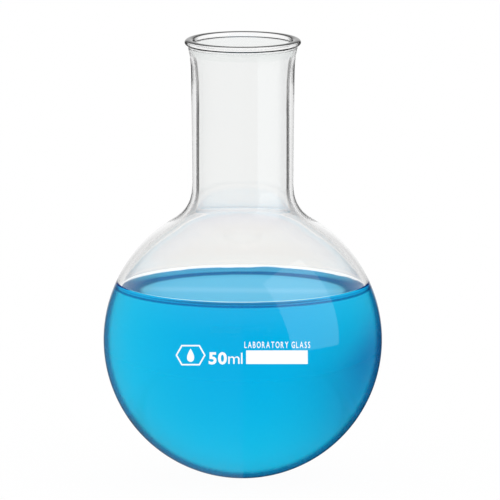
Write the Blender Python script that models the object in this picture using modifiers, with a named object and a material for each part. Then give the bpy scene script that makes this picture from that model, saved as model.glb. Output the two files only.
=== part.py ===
"""Round bottom flask, 50 ml, part filled with a clear blue liquid.

The flask itself is one blown glass body: bulb, shoulder, neck and flared lip. White enamel
marks are fired onto the front of the bulb, each letter and figure a separate deposit. The
flask holds a free body of liquid whose edge climbs the glass as a meniscus.

Metres, +Z up. The origin is the lowest point of the bulb, and the marks face -Y.
"""

from math import atan2, cos, degrees, pi, radians, sin, sqrt, tan

import bmesh
import bpy
from mathutils import Vector

MM = 0.001

# Glass: bulb, neck and lip
BULB_RADIUS = 25.5 * MM
BULB_WALL = 1.0 * MM
NECK_RADIUS = 9.25 * MM
NECK_TOP_RADIUS = 9.5 * MM
NECK_BORE = 8.26 * MM
SHOULDER_RADIUS = 6.7 * MM
LIP_LEAN = 27.0
LIP_BEND = 4.5 * MM
LIP_LENGTH = 1.8 * MM
LIP_TOP = 81.0 * MM

# Liquid: its level, the curl at its edge and the gap that keeps it clear of the glass
LEVEL = 34.5 * MM
MENISCUS_HEIGHT = 1.25 * MM
MENISCUS_WIDTH = 1.7 * MM
LIQUID_GAP = 0.3 * MM

# Enamel: a thin fired film, laid on so that its rows read level from slightly above
ENAMEL_THICKNESS = 0.08 * MM
ENAMEL_GAP = 0.05 * MM
READING_TILT = 9.4
ROW = -3.3 * MM
SPOT_CENTRE = 6.2 * MM
SPOT_SIZE = (11.2 * MM, 2.47 * MM)
FIGURE_HEIGHT = 2.07 * MM
FIGURE_STRETCH = 1.07
FIGURES_START = -6.2 * MM
FIGURES_FOOT = -4.5 * MM
WORDING = "LABORATORY GLASS"
WORDING_ROW = -1.04 * MM
WORDING_HEIGHT = 1.15 * MM
WORDING_WEIGHT = 0.02 * MM
WORDING_WIDTH = 11.95 * MM
WORDING_CENTRE = 6.27 * MM
EMBLEM_CENTRE = (-9.48 * MM, -2.93 * MM)
EMBLEM_SIZE = (5.48 * MM, 3.72 * MM)
EMBLEM_LINE = 0.27 * MM
DROP_HEIGHT = 2.45 * MM
CAPITAL_SHARE = 0.7

# Turned surfaces
TURN_STEPS = 48
BULB_STEPS = 18
SHOULDER_STEPS = 5
BEND_STEPS = 3
BEAD_STEPS = 6

BULB_CENTRE = BULB_RADIUS
WELD = 1e-6


def clear_scene():
    for item in list(bpy.data.objects):
        bpy.data.objects.remove(item, do_unlink=True)


def make_collection(name):
    group = bpy.data.collections.new(name)
    bpy.context.scene.collection.children.link(group)
    return group


def make_material(name, color, roughness, transmission=0.0, ior=1.45):
    material = bpy.data.materials.new(name)
    material.use_nodes = True
    shader = material.node_tree.nodes["Principled BSDF"]
    shader.inputs["Base Color"].default_value = (*color, 1.0)
    shader.inputs["Roughness"].default_value = roughness
    shader.inputs["Metallic"].default_value = 0.0
    shader.inputs["Transmission Weight"].default_value = transmission
    shader.inputs["IOR"].default_value = ior
    return material


def glass_material():
    return make_material("clear_glass", (0.95, 0.97, 0.97), 0.02, transmission=1.0, ior=1.47)


def liquid_material():
    return make_material("blue_liquid", (0.03, 0.45, 0.82), 0.02, transmission=1.0, ior=1.33)


def enamel_material():
    return make_material("white_enamel", (0.95, 0.96, 0.97), 0.35)


def arc(centre, radius, start, end, steps):
    """Points on an arc in the XZ plane, with angles in degrees from +X towards +Z."""
    angles = [radians(start + (end - start) * i / steps) for i in range(steps + 1)]
    return [(centre[0] + radius * cos(a), centre[1] + radius * sin(a)) for a in angles]


def bulb_to_neck(bulb_radius, neck_radius, shoulder_radius):
    """From the bottom of the bulb up to the neck: the bulb's arc, then the shoulder's."""
    across = neck_radius + shoulder_radius
    up = sqrt((bulb_radius + shoulder_radius) ** 2 - across**2)
    lean = degrees(atan2(up, across))
    bulb = arc((0.0, BULB_CENTRE), bulb_radius, -90.0, lean, BULB_STEPS)
    bulb[0] = (0.0, BULB_CENTRE - bulb_radius)
    shoulder = arc((across, BULB_CENTRE + up), shoulder_radius, 180.0 + lean, 180.0, SHOULDER_STEPS)
    return bulb + shoulder[1:]


def lip_outline():
    """From the bore up over the lip and down outside: the wall bends out and ends in a bead."""
    wall = NECK_TOP_RADIUS - NECK_BORE
    middle = LIP_BEND + wall / 2
    lean = radians(LIP_LEAN)
    bend_x = NECK_TOP_RADIUS + LIP_BEND
    bead_x = bend_x - middle * cos(lean) + LIP_LENGTH * sin(lean)
    bead_z = LIP_TOP - wall / 2
    bend = (bend_x, bead_z - middle * sin(lean) - LIP_LENGTH * cos(lean))
    inside = arc(bend, LIP_BEND + wall, 180.0, 180.0 - LIP_LEAN, BEND_STEPS)
    bead = arc((bead_x, bead_z), wall / 2, 180.0 - LIP_LEAN, -LIP_LEAN, BEAD_STEPS)
    outside = arc(bend, LIP_BEND, 180.0 - LIP_LEAN, 180.0, BEND_STEPS)
    return inside + bead + outside


def turn(name, outline, material, collection):
    """A turned body, from an outline that starts and ends on the axis."""
    mesh = bpy.data.meshes.new(name)
    edges = [(i, i + 1) for i in range(len(outline) - 1)]
    mesh.from_pydata([(x, 0.0, z) for x, z in outline], edges, [])
    body = bpy.data.objects.new(name, mesh)
    collection.objects.link(body)
    body.data.materials.append(material)
    screw = body.modifiers.new("turn", "SCREW")
    screw.axis = "Z"
    screw.steps = TURN_STEPS
    screw.render_steps = TURN_STEPS
    screw.use_merge_vertices = True
    screw.merge_threshold = 0.00001
    screw.use_smooth_shade = True
    return body


def make_flask_body(collection):
    """Bulb, shoulder, neck and lip in one outline, up the inside and down the outside."""
    inside = bulb_to_neck(BULB_RADIUS - BULB_WALL, NECK_BORE, SHOULDER_RADIUS + BULB_WALL)
    outside = bulb_to_neck(BULB_RADIUS, NECK_RADIUS, SHOULDER_RADIUS)
    return turn("flask_body", inside + lip_outline() + outside[::-1], glass_material(), collection)


def make_liquid(collection):
    """The liquid: a level surface that curls up at its edge, over a round body."""
    radius = BULB_RADIUS - BULB_WALL - LIQUID_GAP
    contact_height = LEVEL + MENISCUS_HEIGHT - BULB_CENTRE
    contact_radius = sqrt(radius**2 - contact_height**2)
    curl = [
        (contact_radius - MENISCUS_WIDTH * (1 - sin(a)), LEVEL + MENISCUS_HEIGHT * (1 - cos(a)))
        for a in (0.0, pi / 6, pi / 3, pi / 2)
    ]
    start = degrees(atan2(contact_height, contact_radius))
    bowl = arc((0.0, BULB_CENTRE), radius, start, -90.0, BULB_STEPS)
    bowl[-1] = (0.0, BULB_CENTRE - radius)
    return turn("blue_liquid", [(0.0, LEVEL)] + curl + bowl[1:], liquid_material(), collection)


def on_bulb(across, up, lift):
    """The point that far across and up, as read from the front, on the bulb or lifted off it."""
    tilt = radians(READING_TILT)
    right = Vector((1.0, 0.0, 0.0))
    upward = Vector((0.0, sin(tilt), cos(tilt)))
    outward = Vector((0.0, -cos(tilt), sin(tilt)))
    out = sqrt((BULB_RADIUS + lift) ** 2 - across**2 - up**2)
    return Vector((0.0, 0.0, BULB_CENTRE)) + across * right + up * upward + out * outward


def fire_on(name, flat, across, up, material, collection):
    """Lay a flat piece, whose back is at zero height, on the bulb as an enamel deposit."""
    for vertex in flat.vertices:
        x, y, height = vertex.co
        vertex.co = on_bulb(across + x, up + y, ENAMEL_GAP + height)
    flat.shade_smooth()
    flat.set_sharp_from_angle(angle=radians(40.0))
    flat.materials.clear()
    flat.materials.append(material)
    mark = bpy.data.objects.new(name, flat)
    collection.objects.link(mark)
    return mark


def flat_mesh(curve_data, stretch=(1.0, 1.0)):
    """A curve or letter as a welded mesh, its left and back edges at zero, with its width."""
    curve_data.extrude = ENAMEL_THICKNESS / 2
    holder = bpy.data.objects.new("outline", curve_data)
    bpy.context.scene.collection.objects.link(holder)
    graph = bpy.context.evaluated_depsgraph_get()
    mesh = bpy.data.meshes.new_from_object(holder.evaluated_get(graph), depsgraph=graph)
    bpy.data.objects.remove(holder, do_unlink=True)
    bm = bmesh.new()
    bm.from_mesh(mesh)
    bmesh.ops.remove_doubles(bm, verts=bm.verts, dist=WELD)
    bmesh.ops.recalc_face_normals(bm, faces=bm.faces)
    left = min(v.co.x for v in bm.verts)
    width = (max(v.co.x for v in bm.verts) - left) * stretch[0]
    for v in bm.verts:
        v.co = ((v.co.x - left) * stretch[0], v.co.y * stretch[1], v.co.z + ENAMEL_THICKNESS / 2)
    bm.to_mesh(mesh)
    bm.free()
    return mesh, width


def letter_data(text, height, weight=0.0):
    """One letter of the built-in font, its capitals that high, its strokes thickened by weight."""
    data = bpy.data.curves.new("letter", "FONT")
    data.body = text
    data.size = height / CAPITAL_SHARE
    data.offset = weight
    data.resolution_u = 3
    return data


def make_spot(material, collection):
    """The blank patch for writing on: a grid thick enough to follow the bulb's curve."""
    bm = bmesh.new()
    bmesh.ops.create_grid(bm, x_segments=14, y_segments=3, size=0.5)
    bmesh.ops.scale(bm, vec=(SPOT_SIZE[0], SPOT_SIZE[1], 1.0), verts=bm.verts)
    grid = bpy.data.meshes.new("marking_spot")
    bm.to_mesh(grid)
    bm.free()
    sheet = bpy.data.objects.new("marking_spot_sheet", grid)
    bpy.context.scene.collection.objects.link(sheet)
    thicken = sheet.modifiers.new("thicken", "SOLIDIFY")
    thicken.thickness = ENAMEL_THICKNESS
    thicken.offset = 1.0
    graph = bpy.context.evaluated_depsgraph_get()
    solid = bpy.data.meshes.new_from_object(sheet.evaluated_get(graph), depsgraph=graph)
    bpy.data.objects.remove(sheet, do_unlink=True)
    return fire_on("marking_spot", solid, SPOT_CENTRE, ROW, material, collection)


def make_capacity(material, collection):
    """The capacity, bold figures and a light unit, each letter a deposit of its own."""
    gap = 0.25 * MM
    bold = 0.1 * MM
    cursor = FIGURES_START
    for text, weight in (("5", bold), ("0", bold), ("m", 0.0), ("l", 0.0)):
        mesh, width = flat_mesh(letter_data(text, FIGURE_HEIGHT, weight), (FIGURE_STRETCH, 1.0))
        fire_on(f"capacity_{text}", mesh, cursor, FIGURES_FOOT, material, collection)
        cursor += width + gap


def make_wording(material, collection):
    """The wording above the patch, squeezed to its stated width."""
    gap = 0.22 * MM
    space = 0.55 * MM
    letters = [None if c == " " else letter_data(c, WORDING_HEIGHT, WORDING_WEIGHT) for c in WORDING]
    meshes = [flat_mesh(data) if data else None for data in letters]
    natural = sum(made[1] for made in meshes if made)
    fixed = gap * (len(WORDING.replace(" ", "")) - 1) + (space - gap) * WORDING.count(" ")
    squeeze = (WORDING_WIDTH - fixed) / natural
    cursor = WORDING_CENTRE - WORDING_WIDTH / 2
    number = 0
    for text in WORDING:
        if text == " ":
            cursor += space - gap
            continue
        number += 1
        mesh, width = flat_mesh(letter_data(text, WORDING_HEIGHT, WORDING_WEIGHT), (squeeze, 1.0))
        up = WORDING_ROW - WORDING_HEIGHT / 2
        fire_on(f"wording_{number:02d}_{text}", mesh, cursor, up, material, collection)
        cursor += width + gap


def outline_curve(loops):
    """A flat filled curve from closed loops of points; a second loop cuts a hole in the first."""
    data = bpy.data.curves.new("outline", "CURVE")
    data.dimensions = "2D"
    data.fill_mode = "BOTH"
    for loop in loops:
        spline = data.splines.new("POLY")
        spline.points.add(len(loop) - 1)
        for point, (x, y) in zip(spline.points, loop):
            point.co = (x, y, 0.0, 1.0)
        spline.use_cyclic_u = True
    return data


def hexagon(width, height, inset=0.0):
    """A long hexagon, lying on its side, its edges drawn in by inset."""
    slope = radians(30.0)
    top = height / 2 - inset
    tip = width / 2 - inset / cos(slope)
    flat = tip - top * tan(slope)
    return [(tip, 0.0), (flat, top), (-flat, top), (-tip, 0.0), (-flat, -top), (flat, -top)]


def drop(height, steps=24):
    """A drop outline: a circle whose width dies away towards its top, with a pointed tip."""
    width = 0.72 * height
    pinch = 1.2
    turns = [2 * pi * i / steps for i in range(steps)]
    return [(width / 2 * sin(a) * sin(a / 2) ** pinch, height / 2 * cos(a)) for a in turns]


def make_emblem(material, collection):
    """A plain sign beside the capacity: a drop in a long hexagon."""
    across, up = EMBLEM_CENTRE
    ring_loops = [hexagon(*EMBLEM_SIZE), hexagon(*EMBLEM_SIZE, inset=EMBLEM_LINE)]
    ring, width = flat_mesh(outline_curve(ring_loops))
    fire_on("emblem_hexagon", ring, across - width / 2, up, material, collection)
    figure, width = flat_mesh(outline_curve([drop(DROP_HEIGHT)]))
    fire_on("emblem_drop", figure, across - width / 2, up, material, collection)


def main():
    clear_scene()
    flask = make_collection("round_bottom_flask")
    make_flask_body(flask)
    make_liquid(flask)
    enamel = enamel_material()
    make_spot(enamel, flask)
    make_capacity(enamel, flask)
    make_wording(enamel, flask)
    make_emblem(enamel, flask)


main()
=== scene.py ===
from math import atan2, cos, degrees, exp, pi, radians, sin, sqrt

import bpy
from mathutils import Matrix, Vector


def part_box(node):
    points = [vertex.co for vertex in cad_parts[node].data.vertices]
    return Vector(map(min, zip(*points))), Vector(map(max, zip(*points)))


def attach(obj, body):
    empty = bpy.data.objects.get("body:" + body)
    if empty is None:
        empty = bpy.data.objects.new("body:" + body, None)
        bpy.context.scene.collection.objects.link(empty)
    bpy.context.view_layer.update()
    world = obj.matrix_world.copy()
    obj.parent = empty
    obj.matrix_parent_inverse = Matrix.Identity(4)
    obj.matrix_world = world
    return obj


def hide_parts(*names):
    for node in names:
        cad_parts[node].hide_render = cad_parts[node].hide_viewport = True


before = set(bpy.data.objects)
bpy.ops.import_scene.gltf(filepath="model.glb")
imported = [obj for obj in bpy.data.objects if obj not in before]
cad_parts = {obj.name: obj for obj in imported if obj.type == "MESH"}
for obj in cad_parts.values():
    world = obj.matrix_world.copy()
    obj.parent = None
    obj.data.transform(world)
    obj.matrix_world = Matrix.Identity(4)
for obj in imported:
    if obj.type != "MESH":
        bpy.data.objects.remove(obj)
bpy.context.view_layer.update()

MM = 0.001

# Glass: the bulb, the shoulder and the neck, and the elliptical bead round the rim
LIP_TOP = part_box("flask_body")[1].z
BULB_RADIUS = 25.5 * MM
BULB_CENTRE = BULB_RADIUS
BULB_WALL = 1.0 * MM
NECK_RADIUS = 9.25 * MM
NECK_BORE = 8.52 * MM
SHOULDER_RADIUS = 6.7 * MM
RIM_RADIUS = 9.80 * MM
BEAD_HALF_WIDTH = 0.85 * MM
BEAD_HALF_HEIGHT = 0.6 * MM
BEAD_ARC = (225.0, -62.0)
BEAD_GLASS = 1.9  # how far under the rim the bead's glass goes, in half heights

# The flare: radius and depth under the rim, in millimetres
FLARE_INSIDE = (
    (8.52, 13.0), (8.57, 10.5), (8.65, 8.3), (8.76, 6.6), (8.87, 5.2),
    (8.99, 4.1), (9.13, 3.1), (9.24, 2.3), (9.29, 1.6),
)
FLARE_OUTSIDE = (
    (10.08, 1.4), (9.93, 2.1), (9.76, 2.9), (9.63, 3.8),
    (9.54, 4.8), (9.49, 6.2), (9.45, 8.5), (9.42, 11.0),
)

# Liquid: its level, the height and reach of the curl at its edge, and how far it goes into the
# glass, so that no air shows between them
LEVEL = 34.5 * MM
MENISCUS_HEIGHT = 1.45 * MM
MENISCUS_FADE = 1.2 * MM
WETTING = 0.05 * MM
CONTACT = LEVEL + MENISCUS_HEIGHT
SURFACE_LOW = 0.01 * MM  # slack under the level, when the liquid's top faces are told apart
LEVEL_SLOPE = 0.999  # a face is level if its normal's height is over this

# Turned surfaces
BULB_STEPS = 72
SPLINE_STEPS = 6
BEAD_STEPS = 36
OUTLINE_STEP = 0.4 * MM
EASING_REACH = 5
SURFACE_STEPS = 90
BOWL_STEPS = 96
TURN_STEPS = 320
WELD = 0.005 * MM

# Painted shade and light in the glass's colour: dark limbs and lines, a faint grey face on that
# differs by zone, and a lighter painted streak in the neck. A pair is where a smooth step starts
# and ends: in facing, which is 0 face on and 1 edge on, or in height or another place in metres.
CLEAR = (1.0, 1.0, 1.0)
BLACK = (0.0, 0.0, 0.0)
GLASS_IOR = 1.47
# Painted shade: the outer limb is painted deep blue over the liquid and light grey above it
FILLED_LIMB, FILLED_LIMB_PAINTED_SHADE = (0.66, 0.77), (0.12, 0.22, 0.36)
EMPTY_LIMB, EMPTY_LIMB_PAINTED_SHADE = (0.80, 0.95), (0.62, 0.63, 0.64)
CONTACT_BLUR = 0.1 * MM
# Painted shade and a painted highlight in the neck: a faint grey face on, a lighter painted
# streak, and a dark painted line along the limb
NECK_FACE_PAINTED_SHADE = (0.94, 0.95, 0.943)
PAINTED_STREAK_COLOR = (0.985, 1.0, 0.995)
PAINTED_STREAK_START, PAINTED_STREAK_END = (2.4 * MM, 3.0 * MM), (7.6 * MM, 6.4 * MM)
NECK_LINE = (0.62, 0.67)
NECK_LINE_FADE, NECK_LINE_TOP_SHADE = (68 * MM, 73 * MM), (0.07, 0.07, 0.07)
NECK_FOOT, NECK_HEAD = (48.5 * MM, 53.0 * MM), (78.5 * MM, 76.5 * MM)
# Painted shade in the headspace, the shoulder and the flare: a faint grey face on, warm in the
# headspace and the shoulder, and a darker painted limb
HEADSPACE_PAINTED_SHADE, HEADSPACE_MIDDLE = (0.97, 0.95, 0.91), (0.3, 0.55)
HEADSPACE_LIMB, HEADSPACE_LIMB_PAINTED_SHADE = (0.66, 0.76), (0.62, 0.64, 0.65)
SHOULDER_START, SHOULDER_PAINTED_SHADE = (46 * MM, 49 * MM), (0.98, 0.945, 0.925)
SHOULDER_LIMB, SHOULDER_LIMB_PAINTED_SHADE = (0.6, 0.72), (0.15, 0.15, 0.15)
FLARE_START, FLARE_PAINTED_SHADE = (58 * MM, 62 * MM), (0.93, 0.945, 0.94)
FLARE_LIMB, FLARE_LIMB_PAINTED_SHADE = (0.66, 0.85), (0.6, 0.6, 0.6)

# The bead's dark lines, which are painted shade: the slopes where they lie, how much each adds
# to the facing, and the facing that turns black
BEAD_CREST, BEAD_CREST_WEIGHT = (0.65, 0.97), 0.4
BEAD_UNDERSIDE, BEAD_UNDERSIDE_WEIGHT = (-0.35, -0.6), 0.5
BEAD_LINE = (0.52, 0.82)

# Liquid colours, with painted shade and light in them. The stops run down from the top edge of
# the curl, as a share of EDGE_DEPTH, and across the surface by the climb: 0 where it is level
# and 1 where the curl meets the glass.
WATER_IOR = 1.333
WATER_COLOR = (0.0, 0.8864, 0.9721)
WATER_DENSITY = 140.0
CONTACT_SPECULAR = (0.05, 0.05, 0.05)
EDGE_DEPTH = 2.0 * MM
# Painted shade: dark lines at the top edge of the curl, clear below
EDGE_PAINTED_SHADE = (
    (0.0, (0.45, 0.85, 1.0)),
    (0.12, (0.45, 0.85, 1.0)),
    (0.21, (0.0, 0.40, 0.70)),
    (0.32, (0.05, 0.50, 0.72)),
    (0.42, (0.0, 0.11, 0.26)),
    (0.50, (0.0, 0.18, 0.36)),
    (0.62, (1.0, 1.0, 1.0)),
)
# Painted shade and a painted highlight across the surface: a dark ring and a white top to the
# curl, on the liquid's blue
SURFACE_BLUE_AND_PAINTED_LIGHT = (
    (0.0, (0.16, 0.60, 0.83)),
    (0.16, (0.14, 0.57, 0.81)),
    (0.27, (0.0, 0.18, 0.38)),
    (0.44, (0.0, 0.18, 0.38)),
    (0.56, (0.08, 0.47, 0.72)),
    (0.80, (0.10, 0.47, 0.72)),
    (0.90, (1.0, 1.0, 1.0)),
)
# Painted light: the surface glows with these colours
SURFACE_PAINTED_GLOW = (
    (0.0, (0.035, 0.23, 0.33)),
    (0.16, (0.03, 0.22, 0.32)),
    (0.27, (0.0, 0.06, 0.15)),
    (0.44, (0.0, 0.06, 0.15)),
    (0.56, (0.02, 0.19, 0.30)),
    (0.80, (0.03, 0.20, 0.31)),
    (0.90, (0.8, 0.8, 0.8)),
)
SURFACE_IOR = 1.01
SURFACE_TRANSMISSION = 0.2
WAVE_SCALE = 160.0
WAVE_HEIGHT = 0.2

# Painted shade: where the curl is seen steeply from above, it is painted darker
STEEP_PAINTED_SHADE = (0.0, 0.16, 0.40)
STEEP_PAINTED_GLOW = (0.0, 0.06, 0.16)
STEEP_FACING, STEEP_FOOT, STEEP_TOP = (0.5, 0.8), (0.25, 0.4), (0.93, 0.85)

# A painted sheen: the soft band of light painted across the surface, a little aslant
PAINTED_SHEEN = 0.07
SHEEN_SLANT = 0.08
SHEEN_START, SHEEN_END = (-4.5 * MM, 0.0), (5.0 * MM, 0.5 * MM)
SHEEN_LEVEL = (0.3, 0.1)

# Enamel
ENAMEL_WHITE, ENAMEL_SHADE = (1.0, 1.0, 1.0), (0.95, 0.965, 0.975)
# Painted light: a faint glow on the enamel
ENAMEL_PAINTED_GLOW = 0.07
ENAMEL_GRAIN = 900.0
ENAMEL_GRAIN_STEP = (0.3, 0.7)
ENAMEL_ROUGHNESS, ENAMEL_UNEVENNESS = 0.32, 0.12
ENAMEL_BUMP, ENAMEL_BUMP_HEIGHT = 0.15, 0.02 * MM

# Studio: directions are in degrees clockwise from the back, as seen from above, and heights are
# the sine of the angle above the horizon. The dim side is for light that comes through the
# liquid, after more walls than the empty glass has, and the room is what the glass reflects.
DIM_NEAR, DIM_FAR = (-3.0, -42.0), (-88.0, -66.0)
DIM_BELOW, DIM_ABOVE = (-0.42, 0.0), (0.8, -0.16)
DIM_LIGHT = (0.3, 0.34, 0.52)
WALLS_CROSSED = 4.5
ROOM_EDGE = (8.0, 22.0)
INNER_EDGE = (45.0, 75.0)
NEAR_WALL = 2.5
ROOM_TURN = (-30.0, 30.0)
ROOM_LEFT, ROOM_RIGHT = (0.09, 0.09, 0.09), (0.01, 0.01, 0.01)
OVERHEAD_START, OVERHEAD = (0.1, 0.75), (0.5, 0.5, 0.5)
FLOOR_RADIUS = 1.6
FLOOR_SIDES = 96
FLOOR_GLOW = 0.97
FLOOR_COLOR_SHARE = 0.03
SOFTBOX_AZIMUTH, SOFTBOX_ELEVATION = 62.5, 25.0
SOFTBOX_DISTANCE = 0.5
SOFTBOX_SIZE = (0.46, 0.68)
SOFTBOX_RADIANCE = 1.2
SOFTBOX_TARGET = Vector((0.0, 0.0, 0.03))
GLOSSY_BOUNCES = 16
LIGHT_BOUNCES = 24

# Camera
VIEW_ELEVATION = 9.15
VIEW_DISTANCE = 3.2
VIEW_WIDTH = 91.4 * MM
VIEW_SHIFT = (0.0144, 0.0161)


def arc(centre, radius, start, end, steps):
    """Points on an arc, with angles in degrees from across towards up."""
    angles = [radians(start + (end - start) * i / steps) for i in range(steps + 1)]
    return [(centre[0] + radius * cos(a), centre[1] + radius * sin(a)) for a in angles]


def bulb_to_neck(bulb_radius, neck_radius, shoulder_radius):
    """From the bottom of the bulb up to the neck: the bulb's arc, then the shoulder's."""
    across = neck_radius + shoulder_radius
    up = sqrt((bulb_radius + shoulder_radius) ** 2 - across**2)
    lean = degrees(atan2(up, across))
    bulb = arc((0.0, BULB_CENTRE), bulb_radius, -90.0, lean, BULB_STEPS)
    bulb[0] = (0.0, BULB_CENTRE - bulb_radius)
    centre = (across, BULB_CENTRE + up)
    shoulder = arc(centre, shoulder_radius, 180.0 + lean, 180.0, BULB_STEPS // 4)
    return bulb + shoulder[1:]


def spline(points):
    """A smooth curve through the points, by Catmull and Rom's rule."""
    out = []
    ends = [points[0]] + points + [points[-1]]
    for four in zip(ends, ends[1:], ends[2:], ends[3:]):
        for i in range(SPLINE_STEPS):
            t = i / SPLINE_STEPS
            point = []
            for a, b, c, d in zip(*four):
                square, cube = 2 * a - 5 * b + 4 * c - d, 3 * b - a - 3 * c + d
                point.append(0.5 * (2 * b + (c - a) * t + square * t**2 + cube * t**3))
            out.append(tuple(point))
    return out + [points[-1]]


def under_rim(points):
    """Radii and depths under the rim, in millimetres, as points of an outline."""
    return [(r * MM, LIP_TOP - depth * MM) for r, depth in points]


def lip_outline():
    """The flare and its fire-polished bead, up the inside and down the outside."""
    bead = [
        (RIM_RADIUS + x * BEAD_HALF_WIDTH, LIP_TOP - BEAD_HALF_HEIGHT + z * BEAD_HALF_HEIGHT)
        for x, z in arc((0.0, 0.0), 1.0, *BEAD_ARC, BEAD_STEPS)
    ]
    inside = spline(under_rim(FLARE_INSIDE) + [bead[0]])
    outside = spline([bead[-1]] + under_rim(FLARE_OUTSIDE))
    return inside[:-1] + bead + outside[1:]


def resample(outline, step):
    """The same outline with points a step apart."""
    out, left = [outline[0]], step
    for a, b in zip(outline, outline[1:]):
        length = sqrt((b[0] - a[0]) ** 2 + (b[1] - a[1]) ** 2)
        at = left
        while at <= length:
            out.append(tuple(p + (q - p) * at / length for p, q in zip(a, b)))
            at += step
        left = at - length
    return out + [outline[-1]]


def soften(outline, reach):
    """Eases the changes of curvature, as blown glass has none that are sudden."""
    out = []
    for i in range(len(outline)):
        k = min(i, len(outline) - 1 - i, reach)
        window = outline[i - k : i + k + 1]
        weight = [1 + k - abs(j - k) for j in range(len(window))]
        total = sum(weight)
        out.append(tuple(sum(w * p[n] for w, p in zip(weight, window)) / total for n in (0, 1)))
    return out


def turn(name, outline):
    """A turned body, from an outline that starts and ends on the axis."""
    mesh = bpy.data.meshes.new(name)
    edges = [(i, i + 1) for i in range(len(outline) - 1)]
    mesh.from_pydata([(x, 0.0, z) for x, z in outline], edges, [])
    body = bpy.data.objects.new(name, mesh)
    bpy.context.scene.collection.objects.link(body)
    screw = body.modifiers.new("turn", "SCREW")
    screw.axis = "Z"
    screw.steps = screw.render_steps = TURN_STEPS
    screw.use_merge_vertices = True
    screw.merge_threshold = WELD
    screw.use_smooth_shade = True
    graph = bpy.context.evaluated_depsgraph_get()
    solid = bpy.data.meshes.new_from_object(body.evaluated_get(graph), depsgraph=graph)
    body.modifiers.clear()
    body.data = solid
    solid.name = name
    return body


def node(tree, kind, **values):
    made = tree.nodes.new(kind)
    for name, value in values.items():
        setattr(made, name, value)
    return made


def new_material(name):
    material = bpy.data.materials.new(name)
    material.use_nodes = True
    tree = material.node_tree
    return material, tree, tree.nodes["Principled BSDF"]


def glass_shader(name, ior=GLASS_IOR, transmission=1.0):
    material, tree, shader = new_material(name)
    shader.inputs["Roughness"].default_value = 0.0
    shader.inputs["IOR"].default_value = ior
    shader.inputs["Transmission Weight"].default_value = transmission
    return material, tree, shader


def mix_color(tree, factor, a, b):
    """A colour that goes from a to b. Each end is a colour or a socket, and the factor is a
    number or a socket."""
    mix = node(tree, "ShaderNodeMix", data_type="RGBA")
    for name, end in (("A", a), ("B", b)):
        if isinstance(end, tuple):
            mix.inputs[name].default_value = (*end, 1.0)
        else:
            tree.links.new(end, mix.inputs[name])
    if isinstance(factor, float):
        mix.inputs["Factor"].default_value = factor
    else:
        tree.links.new(factor, mix.inputs["Factor"])
    return mix.outputs["Result"]


def ramp(tree, value, low, high):
    """Zero below low and one above high, with a smooth step between; low may be the larger."""
    step = node(tree, "ShaderNodeMapRange", interpolation_type="SMOOTHSTEP")
    step.inputs["From Min"].default_value = low
    step.inputs["From Max"].default_value = high
    tree.links.new(value, step.inputs["Value"])
    return step.outputs["Result"]


def math(tree, operation, *values):
    """One step of arithmetic on numbers or sockets."""
    step = node(tree, "ShaderNodeMath", operation=operation)
    for socket, value in zip(step.inputs, values):
        if isinstance(value, float):
            socket.default_value = value
        else:
            tree.links.new(value, socket)
    return step.outputs[0]


def product(tree, *values):
    result = values[0]
    for value in values[1:]:
        result = math(tree, "MULTIPLY", result, value)
    return result


def color_stops(tree, value, stops):
    """A smooth run of colours, each at its own value."""
    run = node(tree, "ShaderNodeValToRGB")
    band = run.color_ramp
    band.interpolation = "EASE"
    while len(band.elements) < len(stops):
        band.elements.new(0.5)
    for element, (at, color) in zip(band.elements, stops):
        element.position = at
        element.color = (*color, 1.0)
    tree.links.new(value, run.inputs[0])
    return run.outputs["Color"]


def facing(tree):
    """Zero where the surface is seen face on and one where it is seen edge on."""
    weight = node(tree, "ShaderNodeLayerWeight")
    weight.inputs["Blend"].default_value = 0.5
    return weight.outputs["Facing"]


def backfacing(tree):
    """One where the ray meets the surface from inside the solid."""
    return node(tree, "ShaderNodeNewGeometry").outputs["Backfacing"]


def coordinate(tree, kind="Object"):
    return node(tree, "ShaderNodeTexCoord").outputs[kind]


def split(tree, vector):
    """The X, Y and Z of a vector."""
    parts = node(tree, "ShaderNodeSeparateXYZ")
    tree.links.new(vector, parts.inputs[0])
    return parts.outputs


def noise(tree, scale, detail):
    grain = node(tree, "ShaderNodeTexNoise")
    grain.inputs["Scale"].default_value = scale
    grain.inputs["Detail"].default_value = detail
    tree.links.new(coordinate(tree), grain.inputs["Vector"])
    return grain.outputs["Fac"]


def outer_glass():
    """The outside: painted shade makes its limb deep blue over the liquid and light grey above.
    """
    material, tree, shader = glass_shader("flask_glass_outer")
    view, z = facing(tree), split(tree, coordinate(tree))["Z"]
    # Painted shade: the limb is painted blue over the liquid and grey above it
    filled = mix_color(tree, ramp(tree, view, *FILLED_LIMB), CLEAR, FILLED_LIMB_PAINTED_SHADE)
    empty = mix_color(tree, ramp(tree, view, *EMPTY_LIMB), CLEAR, EMPTY_LIMB_PAINTED_SHADE)
    above = ramp(tree, z, CONTACT - CONTACT_BLUR, CONTACT + CONTACT_BLUR)
    tree.links.new(mix_color(tree, above, filled, empty), shader.inputs["Base Color"])
    return material


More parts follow.
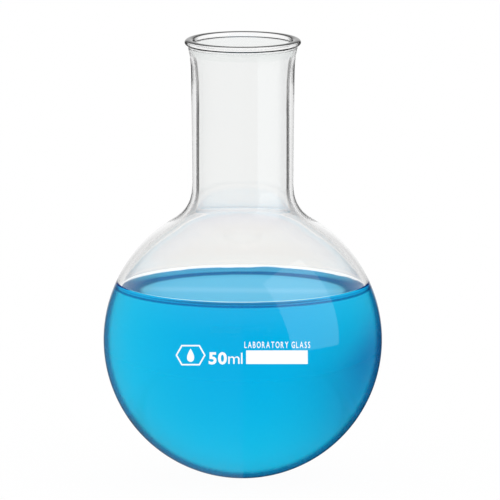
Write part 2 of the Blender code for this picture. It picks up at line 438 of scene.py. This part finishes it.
def inner_glass():
    """The dry inside: its limb is painted dark in the neck, where the wall bends light most."""
    material, tree, shader = glass_shader("flask_glass_inner")
    view, at = facing(tree), split(tree, coordinate(tree))
    x, z = at["X"], at["Z"]

    # Painted highlight: a lighter streak on one side of the neck, over a faint painted grey face
    # on
    painted_streak = product(tree, ramp(tree, x, *PAINTED_STREAK_START), ramp(tree, x, *PAINTED_STREAK_END))
    clear = mix_color(tree, painted_streak, NECK_FACE_PAINTED_SHADE, PAINTED_STREAK_COLOR)
    # Painted shade: a dark line along the neck's limb
    line = mix_color(tree, ramp(tree, z, *NECK_LINE_FADE), BLACK, NECK_LINE_TOP_SHADE)
    neck = mix_color(tree, ramp(tree, view, *NECK_LINE), clear, line)

    # Painted shade in the headspace, the shoulder and the flare: a faint grey face on and a
    # darker limb
    middle = mix_color(tree, ramp(tree, view, *HEADSPACE_MIDDLE), HEADSPACE_PAINTED_SHADE, CLEAR)
    bulb = mix_color(tree, ramp(tree, view, *HEADSPACE_LIMB), middle, HEADSPACE_LIMB_PAINTED_SHADE)
    limb = ramp(tree, view, *SHOULDER_LIMB)
    shoulder = mix_color(tree, limb, SHOULDER_PAINTED_SHADE, SHOULDER_LIMB_PAINTED_SHADE)
    bulb = mix_color(tree, ramp(tree, z, *SHOULDER_START), bulb, shoulder)
    flare = mix_color(tree, ramp(tree, view, *FLARE_LIMB), FLARE_PAINTED_SHADE, FLARE_LIMB_PAINTED_SHADE)
    rest = mix_color(tree, ramp(tree, z, *FLARE_START), bulb, flare)

    in_neck = product(tree, ramp(tree, z, *NECK_FOOT), ramp(tree, z, *NECK_HEAD))
    tree.links.new(mix_color(tree, in_neck, rest, neck), shader.inputs["Base Color"])
    return material


def wetted_glass():
    """The inside that the liquid touches, which hardly reflects."""
    material, tree, shader = glass_shader("flask_glass_wetted")
    shader.inputs["Base Color"].default_value = (*CLEAR, 1.0)
    shader.inputs["Specular Tint"].default_value = (*CONTACT_SPECULAR, 1.0)
    return material


def bead_glass():
    """The rounded rim, whose top and bottom bend light most and so are lined with painted shade.
    """
    material, tree, shader = glass_shader("flask_glass_rim")
    slope = split(tree, coordinate(tree, "Normal"))["Z"]
    # Painted shade: the bead's crest and underside are lined with black
    crest = product(tree, ramp(tree, slope, *BEAD_CREST), BEAD_CREST_WEIGHT)
    underside = product(tree, ramp(tree, slope, *BEAD_UNDERSIDE), BEAD_UNDERSIDE_WEIGHT)
    entering = math(tree, "SUBTRACT", 1.0, backfacing(tree))
    lines = product(tree, math(tree, "ADD", crest, underside), entering)
    turned = math(tree, "ADD", facing(tree), lines)
    edge = mix_color(tree, ramp(tree, turned, *BEAD_LINE), CLEAR, BLACK)
    tree.links.new(edge, shader.inputs["Base Color"])
    return material


def add_dye(tree):
    absorb = node(tree, "ShaderNodeVolumeAbsorption")
    absorb.inputs["Color"].default_value = (*WATER_COLOR, 1.0)
    absorb.inputs["Density"].default_value = WATER_DENSITY
    tree.links.new(absorb.outputs["Volume"], tree.nodes["Material Output"].inputs["Volume"])


def water_body():
    """The liquid against the glass, its top edge painted with the curl's dark lines: painted
    shade.
    """
    material, tree, shader = glass_shader("water_body", WATER_IOR)
    under = math(tree, "SUBTRACT", CONTACT, split(tree, coordinate(tree))["Z"])
    depth = math(tree, "DIVIDE", under, EDGE_DEPTH)
    # Painted shade: the curl's dark lines are painted into the liquid's colour
    tree.links.new(color_stops(tree, depth, EDGE_PAINTED_SHADE), shader.inputs["Base Color"])
    shader.inputs["Specular Tint"].default_value = (*CONTACT_SPECULAR, 1.0)
    add_dye(tree)
    return material


def water_surface():
    """The top of the liquid: level in the middle, with a painted dark foot and a painted bright
    top to its curl, which are painted shade and highlight; it glows with painted light."""
    material, tree, shader = glass_shader("water_surface", SURFACE_IOR, SURFACE_TRANSMISSION)
    shader.inputs["Emission Strength"].default_value = 1.0
    at = split(tree, coordinate(tree))

    raised = math(tree, "SUBTRACT", at["Z"], LEVEL)
    climb = math(tree, "POWER", math(tree, "DIVIDE", raised, MENISCUS_HEIGHT), 0.5)
    ripple = math(tree, "SUBTRACT", noise(tree, WAVE_SCALE, 1.0), 0.5)
    climb = math(tree, "ADD", climb, product(tree, ripple, WAVE_HEIGHT, climb))

    from_above = math(tree, "SUBTRACT", 1.0, backfacing(tree))
    # Painted shade where the curl is seen steeply from above
    curl = product(tree, ramp(tree, climb, *STEEP_FOOT), ramp(tree, climb, *STEEP_TOP))
    steep = product(tree, ramp(tree, facing(tree), *STEEP_FACING), curl, from_above)
    # The surface's blue, with a painted dark ring and a painted white top to the curl
    color = mix_color(tree, steep, color_stops(tree, climb, SURFACE_BLUE_AND_PAINTED_LIGHT), STEEP_PAINTED_SHADE)
    tree.links.new(color, shader.inputs["Base Color"])

    # Painted sheen: a light band painted across the surface
    across = math(tree, "ADD", at["Y"], product(tree, at["X"], SHEEN_SLANT))
    band = product(tree, ramp(tree, across, *SHEEN_START), ramp(tree, across, *SHEEN_END))
    band = product(tree, band, ramp(tree, climb, *SHEEN_LEVEL), PAINTED_SHEEN)
    # Painted light: the surface glows, with a painted dark ring and a bright top to the curl
    glow = mix_color(tree, steep, color_stops(tree, climb, SURFACE_PAINTED_GLOW), STEEP_PAINTED_GLOW)
    tree.links.new(mix_color(tree, band, glow, CLEAR), shader.inputs["Emission Color"])
    add_dye(tree)
    return material


def enamel_material():
    """Fired white enamel: faintly mottled, with a slightly uneven gloss and surface. It glows a
    little: painted light.
    """
    material, tree, shader = new_material("fired_enamel")
    grain = noise(tree, ENAMEL_GRAIN, 3.0)
    shade = ramp(tree, grain, *ENAMEL_GRAIN_STEP)
    white = mix_color(tree, shade, ENAMEL_SHADE, ENAMEL_WHITE)
    tree.links.new(white, shader.inputs["Base Color"])
    # Painted light: the enamel glows a little in its own white
    tree.links.new(white, shader.inputs["Emission Color"])
    shader.inputs["Emission Strength"].default_value = ENAMEL_PAINTED_GLOW
    uneven = product(tree, shade, ENAMEL_UNEVENNESS)
    roughness = math(tree, "ADD", ENAMEL_ROUGHNESS, uneven)
    tree.links.new(roughness, shader.inputs["Roughness"])
    bump = node(tree, "ShaderNodeBump")
    bump.inputs["Strength"].default_value = ENAMEL_BUMP
    bump.inputs["Distance"].default_value = ENAMEL_BUMP_HEIGHT
    tree.links.new(grain, bump.inputs["Height"])
    tree.links.new(bump.outputs["Normal"], shader.inputs["Normal"])
    return material


def make_glass():
    lip = lip_outline()
    bore = bulb_to_neck(BULB_RADIUS - BULB_WALL, NECK_BORE, SHOULDER_RADIUS + BULB_WALL)
    skin = bulb_to_neck(BULB_RADIUS, NECK_RADIUS, SHOULDER_RADIUS)
    inside, outside = (
        soften(resample(side, OUTLINE_STEP), EASING_REACH)
        for side in (bore + [lip[0]], skin + [lip[-1]])
    )
    glass = turn("clear_flask_body", inside[:-1] + lip + outside[-2::-1])
    for material in (outer_glass(), inner_glass(), wetted_glass(), bead_glass()):
        glass.data.materials.append(material)
    for face in glass.data.polygons:
        centre = face.center
        axis = Vector((0.0, 0.0, min(centre.z, BULB_CENTRE)))
        if centre.z > LIP_TOP - BEAD_GLASS * BEAD_HALF_HEIGHT:
            face.material_index = 3
        elif face.normal.dot(centre - axis) >= 0.0:
            face.material_index = 0
        else:
            face.material_index = 1 if centre.z > CONTACT else 2
    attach(glass, "root")
    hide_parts("flask_body")


def make_liquid():
    radius = BULB_RADIUS - BULB_WALL + WETTING
    top = CONTACT - BULB_CENTRE
    edge = sqrt(radius**2 - top**2)
    surface = []
    for i in range(SURFACE_STEPS + 1):
        r = edge * (1 - (1 - i / SURFACE_STEPS) ** 2)
        surface.append((r, LEVEL + MENISCUS_HEIGHT * exp(-(edge - r) / MENISCUS_FADE)))
    bowl = arc((0.0, BULB_CENTRE), radius, degrees(atan2(top, edge)), -90.0, BOWL_STEPS)
    bowl[-1] = (0.0, BULB_CENTRE - radius)
    liquid = turn("blue_dyed_water", surface + bowl[1:])
    liquid.data.materials.append(water_body())
    liquid.data.materials.append(water_surface())
    for face in liquid.data.polygons:
        centre, normal = face.center, face.normal
        inward = normal.dot(Vector((centre.x, centre.y, 0.0))) < 0.0
        if centre.z > LEVEL - SURFACE_LOW and inward or normal.z > LEVEL_SLOPE:
            face.material_index = 1
    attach(liquid, "root")
    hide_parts("blue_liquid")


def studio_light(tree, vector):
    """The studio's light from that way. Through the liquid it is dimmer from the left, and what
    it gives to reflect is a bright panel behind the flask and a dark room in front."""
    at = split(tree, vector)
    height = at["Z"]
    way = product(tree, math(tree, "ARCTAN2", at["X"], at["Y"]), 180 / pi)
    turned = math(tree, "ABSOLUTE", way)
    path = node(tree, "ShaderNodeLightPath").outputs

    side = product(tree, ramp(tree, way, *DIM_NEAR), ramp(tree, way, *DIM_FAR))
    level = product(tree, ramp(tree, height, *DIM_BELOW), ramp(tree, height, *DIM_ABOVE))
    through = math(tree, "GREATER_THAN", path["Transmission Depth"], WALLS_CROSSED)
    light = mix_color(tree, product(tree, side, level, through), CLEAR, DIM_LIGHT)

    mirrored = math(tree, "SUBTRACT", path["Is Reflection Ray"], path["Is Diffuse Ray"])
    outer = product(tree, ramp(tree, turned, *ROOM_EDGE), mirrored)
    bounced = math(tree, "GREATER_THAN", path["Glossy Depth"], 0.5)
    near = math(tree, "LESS_THAN", path["Transmission Depth"], NEAR_WALL)
    inner = product(tree, path["Is Transmission Ray"], bounced, near)
    inner = product(tree, inner, ramp(tree, turned, *INNER_EDGE))
    sides = mix_color(tree, ramp(tree, way, *ROOM_TURN), ROOM_LEFT, ROOM_RIGHT)
    room = mix_color(tree, ramp(tree, height, *OVERHEAD_START), sides, OVERHEAD)
    return mix_color(tree, math(tree, "MAXIMUM", outer, inner), light, room)


def make_world():
    world = bpy.data.worlds.new("white_studio")
    bpy.context.scene.world = world
    world.use_nodes = True
    tree = world.node_tree
    light = studio_light(tree, coordinate(tree, "Generated"))
    tree.links.new(light, tree.nodes["Background"].inputs["Color"])


def make_floor():
    """A pale floor that gives the studio's light back, by the way it lies from the bulb."""
    bpy.ops.mesh.primitive_circle_add(
        vertices=FLOOR_SIDES, radius=FLOOR_RADIUS, fill_type="NGON", location=(0, 0, 0)
    )
    floor = bpy.context.object
    floor.name = "studio_floor"
    material, tree, shader = new_material("floor_white")
    shader.inputs["Roughness"].default_value = 0.9
    shader.inputs["Specular IOR Level"].default_value = 0.0
    way = node(tree, "ShaderNodeVectorMath", operation="SUBTRACT")
    way.inputs[1].default_value = (0.0, 0.0, BULB_CENTRE)
    tree.links.new(coordinate(tree), way.inputs[0])
    unit = node(tree, "ShaderNodeVectorMath", operation="NORMALIZE")
    tree.links.new(way.outputs[0], unit.inputs[0])
    light = studio_light(tree, unit.outputs[0])
    tree.links.new(light, shader.inputs["Emission Color"])
    shader.inputs["Emission Strength"].default_value = FLOOR_GLOW
    color = mix_color(tree, FLOOR_COLOR_SHARE, BLACK, light)
    tree.links.new(color, shader.inputs["Base Color"])
    floor.data.materials.append(material)


def aim(item, away):
    """Turns a camera or light that lies that way from its target to look back at it."""
    item.rotation_mode = "QUATERNION"
    item.rotation_quaternion = (-away).to_track_quat("-Z", "Y")


def make_softbox():
    """The softbox on the right, which the glass reflects but nothing else sees."""
    width, height = SOFTBOX_SIZE
    data = bpy.data.lights.new("softbox_right", "AREA")
    data.shape = "RECTANGLE"
    data.size = width
    data.size_y = height
    data.energy = SOFTBOX_RADIANCE * width * height * pi
    light = bpy.data.objects.new("softbox_right", data)
    bpy.context.scene.collection.objects.link(light)
    a, e = radians(SOFTBOX_AZIMUTH), radians(SOFTBOX_ELEVATION)
    away = Vector((sin(a) * cos(e), -cos(a) * cos(e), sin(e)))
    light.location = SOFTBOX_TARGET + away * SOFTBOX_DISTANCE
    aim(light, away)
    light.visible_diffuse = False
    light.visible_transmission = False


def make_camera():
    data = bpy.data.cameras.new("camera")
    data.sensor_width = 36.0
    data.lens = data.sensor_width * VIEW_DISTANCE / VIEW_WIDTH
    data.clip_start = 0.1
    data.clip_end = 20.0
    data.shift_x, data.shift_y = VIEW_SHIFT
    camera = bpy.data.objects.new("camera", data)
    bpy.context.scene.collection.objects.link(camera)
    e = radians(VIEW_ELEVATION)
    back = Vector((0.0, -cos(e), sin(e)))
    camera.location = Vector((0.0, 0.0, LIP_TOP / 2)) + back * VIEW_DISTANCE
    aim(camera, back)
    bpy.context.scene.camera = camera


bpy.context.scene.view_settings.view_transform = "Standard"
bpy.context.scene.cycles.glossy_bounces = GLOSSY_BOUNCES
bpy.context.scene.cycles.max_bounces = LIGHT_BOUNCES
bpy.context.scene.cycles.transmission_bounces = LIGHT_BOUNCES
make_world()
make_camera()
make_floor()
make_softbox()
make_glass()
make_liquid()
enamel = enamel_material()
for name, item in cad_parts.items():
    if name not in ("flask_body", "blue_liquid"):
        item.data.materials.clear()
        item.data.materials.append(enamel)
